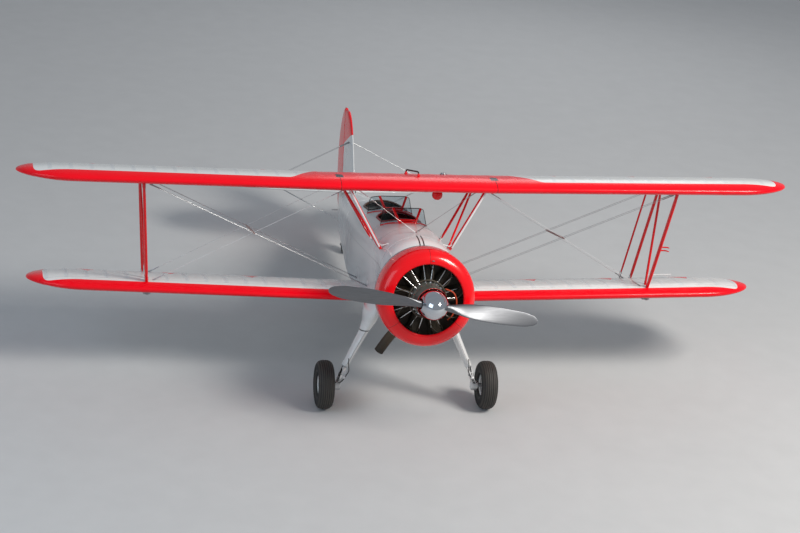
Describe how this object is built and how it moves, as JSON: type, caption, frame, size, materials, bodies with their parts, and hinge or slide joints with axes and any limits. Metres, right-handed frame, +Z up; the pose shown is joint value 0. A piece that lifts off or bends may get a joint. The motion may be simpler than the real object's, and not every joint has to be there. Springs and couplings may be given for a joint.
{
  "type": "two-seat open-cockpit biplane",
  "caption": "Two-seat open-cockpit biplane with a cowled radial engine, fixed main gear and a steerable tail wheel, parked on its wheels.",
  "frame": {"origin": "on the floor under the middle of the whole aircraft, parked on its three wheels", "axes": "+X to the aircraft's port side, nose towards -Y, +Z up"},
  "size_m": [9.7998, 7.563, 2.9627],
  "materials": {
    "white_paint": "gloss white",
    "red_paint": "gloss red",
    "engine_metal": "heat-resistant enamel",
    "alloy": "satin",
    "polished_metal": "mirror polish",
    "steel": "satin",
    "sooty_steel": "heat-stained",
    "tyre_rubber": "matt",
    "glass": "clear",
    "leather": "worn",
    "interior": "matt"
  },
  "bodies": {
    "airframe": {"nose_cowling": "white_paint", "top_deck": "white_paint", "side_panel_left": "white_paint", "side_panel_right": "white_paint", "belly_panel": "white_paint", "rear_body": "white_paint", "cockpit_floor": "interior", "windshield_glass_front": "glass", "windshield_glass_rear": "glass", "windshield_frame_front": "red_paint", "windshield_frame_rear": "red_paint", "seat_front": "leather", "seat_rear": "leather", "engine_cowl": "red_paint", "engine": "engine_metal", "exhaust": "sooty_steel", "wing_centre_section": "white_paint", "upper_wing_left": "white_paint", "lower_wing_left": "white_paint", "wing_strut_front_left": "red_paint", "wing_strut_rear_left": "red_paint", "wing_strut_diagonal_left": "red_paint", "cabane_strut_front_left": "red_paint", "cabane_strut_rear_left": "red_paint", "cabane_strut_diagonal_left": "red_paint", "wing_stays_left": "steel", "gear_leg_left": "white_paint", "gear_piston_left": "polished_metal", "tail_plane_left": "white_paint", "tail_brace_left": "red_paint", "upper_wing_right": "white_paint", "lower_wing_right": "white_paint", "wing_strut_front_right": "red_paint", "wing_strut_rear_right": "red_paint", "wing_strut_diagonal_right": "red_paint", "cabane_strut_front_right": "red_paint", "cabane_strut_rear_right": "red_paint", "cabane_strut_diagonal_right": "red_paint", "wing_stays_right": "steel", "gear_leg_right": "white_paint", "gear_piston_right": "polished_metal", "tail_plane_right": "white_paint", "tail_brace_right": "red_paint", "fin": "white_paint"},
    "propeller": {"propeller": "alloy", "spinner": "polished_metal"},
    "wheel_left": {"wheel_left": "white_paint", "tyre_left": "tyre_rubber"},
    "wheel_right": {"wheel_right": "white_paint", "tyre_right": "tyre_rubber"},
    "tail_fork": {"tail_wheel_fork": "steel"},
    "tail_wheel": {"tail_wheel": "tyre_rubber"},
    "rudder": {"rudder": "red_paint"},
    "elevator": {"elevator": "white_paint"},
    "lower_aileron_left": {"lower_aileron_left": "white_paint"},
    "lower_aileron_right": {"lower_aileron_right": "white_paint"},
    "upper_aileron_left": {"upper_aileron_left": "white_paint"},
    "upper_aileron_right": {"upper_aileron_right": "white_paint"},
    "aileron_link_left": {"aileron_link_left": "red_paint"},
    "aileron_link_right": {"aileron_link_right": "red_paint"}
  },
  "joints": [
    {"name": "propeller_spin", "type": "hinge", "parent": "airframe", "child": "propeller", "pos_m": [0, -3.78146, 1.94576], "axis": [0, 0.9781, -0.208], "continuous": true},
    {"name": "wheel_left_spin", "type": "hinge", "parent": "airframe", "child": "wheel_left", "pos_m": [1.045, -2.45488, 0.30904], "axis": [1, 0, 0], "continuous": true},
    {"name": "wheel_right_spin", "type": "hinge", "parent": "airframe", "child": "wheel_right", "pos_m": [-1.045, -2.45488, 0.30904], "axis": [1, 0, 0], "continuous": true},
    {"name": "tail_wheel_steer", "type": "hinge", "parent": "airframe", "child": "tail_fork", "pos_m": [0, 2.57583, 0.34907], "axis": [0, 0, 1], "range_deg": [-30, 30]},
    {"name": "tail_wheel_spin", "type": "hinge", "parent": "tail_fork", "child": "tail_wheel", "pos_m": [0, 2.63648, 0.13117], "axis": [1, 0, 0], "continuous": true},
    {"name": "rudder_swing", "type": "hinge", "parent": "airframe", "child": "rudder", "pos_m": [0, 3.145, 0.98405], "axis": [0, 0.208, 0.9781], "range_deg": [-30, 30]},
    {"name": "elevator_swing", "type": "hinge", "parent": "airframe", "child": "elevator", "pos_m": [0, 3.01067, 0.95332], "axis": [1, 0, 0], "range_deg": [-24, 28]},
    {"name": "lower_aileron_left_swing", "type": "hinge", "parent": "airframe", "child": "lower_aileron_left", "pos_m": [2.44, -0.72646, 1.00227], "axis": [0.9996, 0.0059, 0.0278], "range_deg": [-20, 20]},
    {"name": "lower_aileron_right_swing", "type": "hinge", "parent": "airframe", "child": "lower_aileron_right", "pos_m": [-2.44, -0.72646, 1.00227], "axis": [0.9996, -0.0059, -0.0278], "range_deg": [-20, 20]},
    {"name": "upper_aileron_left_swing", "type": "hinge", "parent": "airframe", "child": "upper_aileron_left", "pos_m": [2.44, -1.07612, 2.59839], "axis": [0.9999, 0.0027, 0.0126], "range_deg": [-20, 20]},
    {"name": "upper_aileron_right_swing", "type": "hinge", "parent": "airframe", "child": "upper_aileron_right", "pos_m": [-2.44, -1.07612, 2.59839], "axis": [0.9999, -0.0027, -0.0126], "range_deg": [-20, 20]},
    {"name": "aileron_link_left_swing", "type": "hinge", "parent": "lower_aileron_left", "child": "aileron_link_left", "pos_m": [3.225, -0.63949, 1.07589], "axis": [0.9996, 0.0059, 0.0278], "range_deg": [-23, 23]},
    {"name": "aileron_link_right_swing", "type": "hinge", "parent": "lower_aileron_right", "child": "aileron_link_right", "pos_m": [-3.225, -0.63949, 1.07589], "axis": [0.9996, -0.0059, -0.0278], "range_deg": [-23, 23]}
  ],
  "couplings": [
    {"joint": "lower_aileron_right_swing", "follows": "lower_aileron_left_swing", "ratio": -1},
    {"joint": "upper_aileron_left_swing", "follows": "lower_aileron_left_swing", "ratio": 1},
    {"joint": "upper_aileron_right_swing", "follows": "lower_aileron_left_swing", "ratio": -1},
    {"joint": "aileron_link_left_swing", "follows": "lower_aileron_left_swing", "ratio": -1.1117},
    {"joint": "aileron_link_right_swing", "follows": "lower_aileron_left_swing", "ratio": 1.1117}
  ]
}
